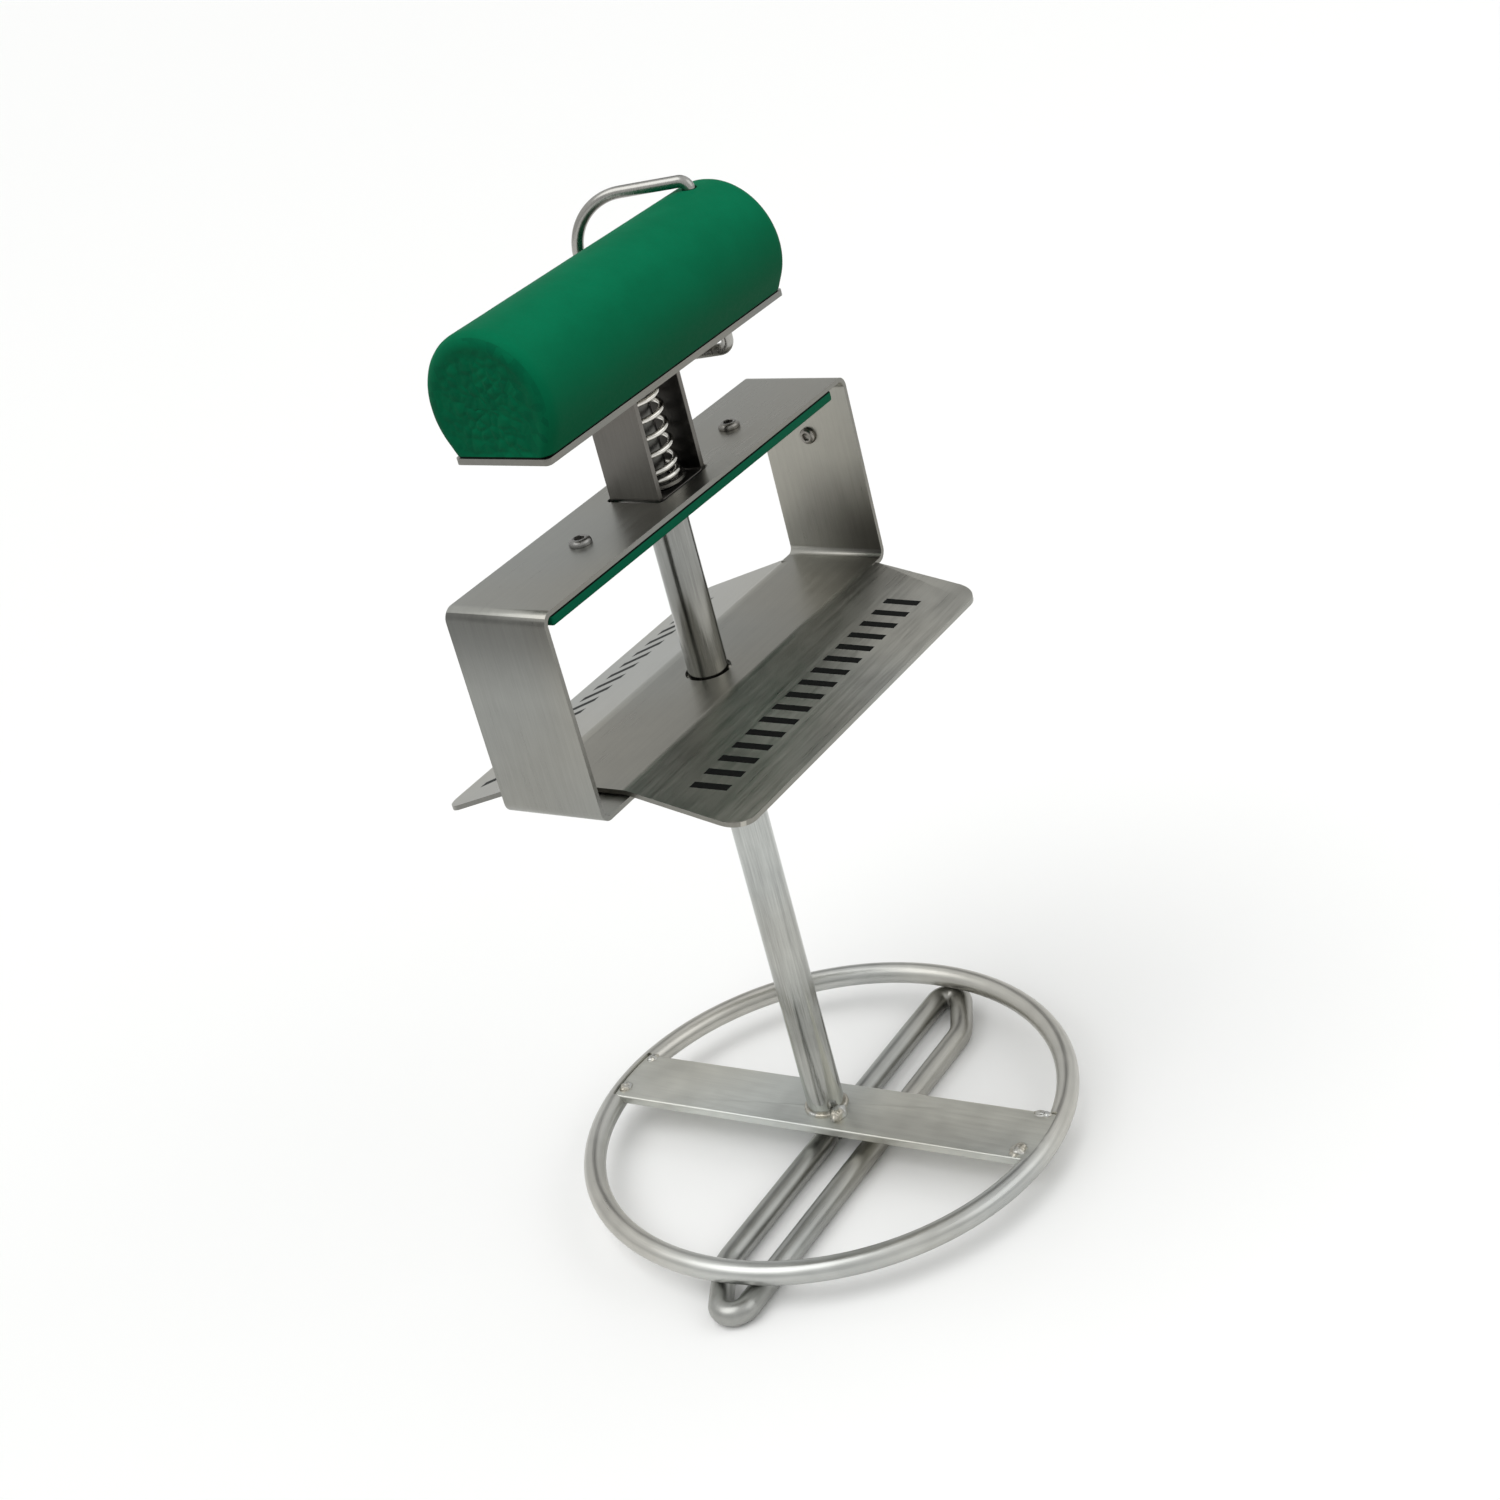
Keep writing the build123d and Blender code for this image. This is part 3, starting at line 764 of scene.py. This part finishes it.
def build_axis_beads():
    """Beads round the tube's foot, under the shield and round the rod's top."""
    tube_low, tube_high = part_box("guide_tube")
    _, rod_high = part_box("rod_top_weld")
    _, shield_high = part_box("shield_weld")
    tube = (tube_high.x - tube_low.x) / 2
    blob_x, blob_y, blob_rise = FOOT_BLOB_PLACE
    foot_blob = nugget(Vector((blob_x, blob_y, tube_low.z + blob_rise)), FOOT_BLOB, 5.0,
                       (1.2, 0.9, 0.85))
    build_ring_bead("tube_foot_bead", "tube_foot_weld", "frame", tube + 0.25 * MM,
                    tube_low.z + 0.25 * MM, FOOT_BEAD, [foot_blob])
    build_ring_bead("shield_bead", "shield_weld", "frame", tube + 0.7 * MM,
                    shield_high.z - 1.5 * MM, SHIELD_BEAD)
    build_ring_bead("rod_top_bead", "rod_top_weld", "grip_unit", ROD_BEAD_R,
                    rod_high.z - 0.35 * MM, ROD_BEAD)


BAR_SPOTS = (
    ((-3.9 * MM, -60.0 * MM), 2.4 * MM, (1.25, 0.9, 0.75)),
    ((10.9 * MM, -59.6 * MM), 1.9 * MM, (0.7, 1.4, 0.7)),
    ((6.0 * MM, 62.0 * MM), 1.7 * MM, (1.2, 1.0, 0.7)),
    ((-7.9 * MM, 61.8 * MM), 1.9 * MM, (1.2, 1.0, 0.8)),
)


def build_bar_nuggets():
    """Four weld nuggets where the cross bar meets the ring."""
    _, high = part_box("cross_bar")
    parts = []
    for i, (place, size, squash) in enumerate(BAR_SPOTS):
        parts.append(nugget(Vector((*place, high.z - 0.5 * MM)), size, 1.7 * (i + 1), squash))
    points, faces = join_parts(parts)
    made = make_object("bar_weld_nuggets", points, faces, WELD)
    return finish_piece(made, "frame", "weld_steel", "bar_welds")


def build_hook_nugget():
    """Lumpy weld closing the loop on the rod's elbow."""
    low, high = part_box("hook_weld")
    points, faces = nugget((low + high) / 2, 3.1 * MM, 9.0, (0.95, 1.05, 0.8))
    made = make_object("loop_weld_nugget", points, faces, WELD)
    return finish_piece(made, "grip_unit", "weld_steel", "hook_weld")


def build_bracket_beads():
    """A bead along each bracket leg, under the base plate."""
    low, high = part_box("bracket_welds")
    _, bracket_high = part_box("u_bracket")
    steps = 60
    y0, y1 = low.y + 1 * MM, high.y - 1 * MM
    z = high.z - 0.35 * MM
    parts = []
    for side in (-1, 1):
        x = side * (bracket_high.x + 0.35 * MM)
        route = [Vector((x, y0 + (y1 - y0) * i / steps, z)) for i in range(steps + 1)]
        swell = [ripple(here, k, 5) for k, here in enumerate(route)]
        parts.append(loft(wire_rings(route, 1.0 * MM, 12, swell.__getitem__)))
    points, faces = join_parts(parts)
    made = make_object("bracket_beads", points, faces, WELD)
    return finish_piece(made, "grip_unit", "weld_steel", "bracket_welds")


# ---------------------------------------------------------------- screws


def screw_shape(head_radius, head_height, shank_radius, shank_length, socket_radius):
    """Button-head screw with a hexagon socket: points and faces, seat on z = 0."""
    sides = 72

    def ring(radius, z, hexagon=0.0):
        points = []
        for i in range(sides):
            turn = 2 * pi * i / sides
            wedge = (turn + pi / 6) % (pi / 3) - pi / 6
            six = radius * cos(pi / 6) / cos(wedge)
            size = radius * (1 - hexagon) + six * hexagon
            points.append(Vector((size * cos(turn), size * sin(turn), z)))
        return points

    rings = [ring(0.02 * MM, head_height * 0.32), ring(socket_radius * 0.5, head_height * 0.36, 0.3)]
    rings.append(ring(socket_radius * 0.97, head_height * 0.42, 1.0))
    rings.append(ring(socket_radius, head_height * 0.92, 1.0))
    rings.append(ring(socket_radius * 1.1, head_height, 0.6))
    dome_steps = 8
    inner = socket_radius * 1.22
    for i in range(dome_steps + 1):
        t = i / dome_steps
        radius = inner + (head_radius - inner) * sin(pi / 2 * t)
        rings.append(ring(radius, head_height * (0.28 + 0.72 * cos(pi / 2 * t))))
    rings.append(ring(head_radius, head_height * 0.06))
    rings.append(ring(head_radius * 0.97, 0.0))
    rings.append(ring(shank_radius, 0.0))
    rings.append(ring(shank_radius, -shank_length + 0.3 * MM))
    rings.append(ring(shank_radius - 0.3 * MM, -shank_length))
    return loft(rings)


PAD_SOCKET_R = 1.35 * MM
LEG_HEAD_H = 1.3 * MM
LEG_SHANK_R = 1.5 * MM
LEG_SOCKET_R = 1.05 * MM


def build_screws():
    """Two button screws in the frame's top and the small one on the far leg."""
    low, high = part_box("pad_screws")
    _, sheet_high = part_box("folded_body")
    head = (high.y - low.y) / 2
    seat = sheet_high.z
    shape = screw_shape(head, high.z - seat, PAD_SHANK_R, seat - low.z, PAD_SOCKET_R)
    parts = []
    for x in (low.x + head, high.x - head):
        parts.append(([p + Vector((x, 0, seat)) for p in shape[0]], shape[1]))
    points, faces = join_parts(parts)
    screws = make_object("button_screws", points, faces, FASTENER)
    smooth_by_angle(screws, 38)
    finish_piece(screws, "frame", "fastener_steel", "pad_screws")

    low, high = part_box("leg_screw")
    head = (high.y - low.y) / 2
    shape = screw_shape(head, LEG_HEAD_H, LEG_SHANK_R, high.x - low.x - LEG_HEAD_H, LEG_SOCKET_R)
    seat_x = low.x + LEG_HEAD_H
    points = [Vector((seat_x - p.z, p.y, (low.z + high.z) / 2 + p.x)) for p in shape[0]]
    screw = make_object("leg_button_screw", points, shape[1], FASTENER)
    smooth_by_angle(screw, 38)
    finish_piece(screw, "frame", "fastener_steel", "leg_screw")


# ---------------------------------------------------------------- CAD nodes kept


def dress(node, material, edge=0.0):
    """Gives a CAD node its material and, for cut sheet, softly rounded edges."""
    obj = frame["nodes"][node]
    obj.data.materials.clear()
    obj.data.materials.append(material)
    if edge > 0:
        weld = obj.modifiers.new("join", "WELD")
        weld.merge_threshold = 0.002 * MM
        bevel = obj.modifiers.new("edges", "BEVEL")
        bevel.width = edge
        bevel.segments = 3
        bevel.limit_method = "ANGLE"
        bevel.angle_limit = radians(50)
        bevel.harden_normals = True
        bevel.use_clamp_overlap = True
    return obj


def dress_frame():
    """Materials and edges of the CAD nodes that are kept as they are."""
    dress("folded_body", SHEET, 0.15 * MM)
    dress("grip_base_plate", PLATE, 0.2 * MM)
    dress("u_bracket", BRACKET, 0.2 * MM)
    dress("cross_bar", BAR, 0.5 * MM)
    dress("guide_tube", TUBE)
    dress("base_ring", RING)
    dress("hook_rod", ROD)
    dress("hang_loop", HANGER)
    dress("spring_washer", FASTENER)
    dress("flange_welds", WELD)


# ---------------------------------------------------------------- floor, light, camera


CAMERA_PLACE = (-0.43000, -0.35625, 0.40191)
CAMERA_TURN = (62.411, 13.358, -57.725)
CAMERA_LENS = 60.62
FLOOR_HALF = 6.0


def build_stage():
    """Pale floor under the loop."""
    half = FLOOR_HALF
    points = [(-half, -half, 0), (half, -half, 0), (half, half, 0), (-half, half, 0)]
    material, _, shader = new_material("pale_floor")
    shader.inputs["Base Color"].default_value = (0.93, 0.93, 0.925, 1)
    shader.inputs["Roughness"].default_value = 0.9
    shader.inputs["Specular IOR Level"].default_value = 0.1
    floor = make_object("floor", points, [[0, 1, 2, 3]], material, smooth=False)


def soft_light(name, place, target, width, height, power):
    """Rectangular soft light aimed at a point."""
    lamp = bpy.data.lights.new(name, "AREA")
    lamp.shape = "RECTANGLE"
    lamp.size, lamp.size_y = width, height
    lamp.energy = power
    made = bpy.data.objects.new(name, lamp)
    bpy.context.scene.collection.objects.link(made)
    made.location = place
    made.rotation_euler = (Vector(target) - Vector(place)).to_track_quat("-Z", "Y").to_euler()


DARK_PATCH = (0.686, 0.389, 0.615)
DARK_EDGE = cos(radians(18))
DARK_CORE = cos(radians(6))


def build_light():
    """Bright room with one soft dark patch behind the object, a wide sun and a soft fill."""
    world = bpy.data.worlds.new("studio")
    bpy.context.scene.world = world
    world.use_nodes = True
    tree = world.node_tree
    background = tree.nodes["Background"]
    direction = tree.nodes.new("ShaderNodeTexCoord").outputs["Generated"]
    parts = tree.nodes.new("ShaderNodeSeparateXYZ")
    feed(tree, parts.inputs[0], direction)
    height = ramp(tree, parts.outputs["Z"], 0.0, 0.9)
    room = mix_colour(tree, height, (0.66, 0.665, 0.66, 1), (0.88, 0.885, 0.88, 1))
    toward = tree.nodes.new("ShaderNodeVectorMath")
    toward.operation = "DOT_PRODUCT"
    feed(tree, toward.inputs[0], direction)
    toward.inputs[1].default_value = DARK_PATCH
    dark = ramp(tree, toward.outputs["Value"], DARK_EDGE, DARK_CORE)
    feed(tree, background.inputs["Color"], mix_colour(tree, dark, room, (0.12, 0.12, 0.12, 1)))
    background.inputs["Strength"].default_value = 1.0
    target = (0, 0, 0.13)
    soft_light("fill", (0.35, -0.95, 0.75), target, 1.0, 0.8, 2.0)
    key = bpy.data.lights.new("key", "SUN")
    key.energy = 0.9
    key.angle = radians(50)
    made = bpy.data.objects.new("key", key)
    bpy.context.scene.collection.objects.link(made)
    made.rotation_euler = Vector((-0.42, 0.2, 0.88)).to_track_quat("Z", "Y").to_euler()


def build_camera():
    """Camera above the near end, looking along the grip."""
    camera = bpy.data.cameras.new("camera")
    camera.lens = CAMERA_LENS
    camera.sensor_width = 36.0
    camera.clip_start = 0.01
    made = bpy.data.objects.new("camera", camera)
    bpy.context.scene.collection.objects.link(made)
    made.location = CAMERA_PLACE
    made.rotation_euler = Euler([radians(a) for a in CAMERA_TURN], "XYZ")
    bpy.context.scene.camera = made


def main():
    dress_frame()
    build_grip()
    build_pad()
    build_spring()
    build_screws()
    build_axis_beads()
    build_bar_nuggets()
    build_hook_nugget()
    build_bracket_beads()
    build_stage()
    build_light()
    build_camera()
    bpy.context.scene.view_settings.view_transform = "Standard"


main()
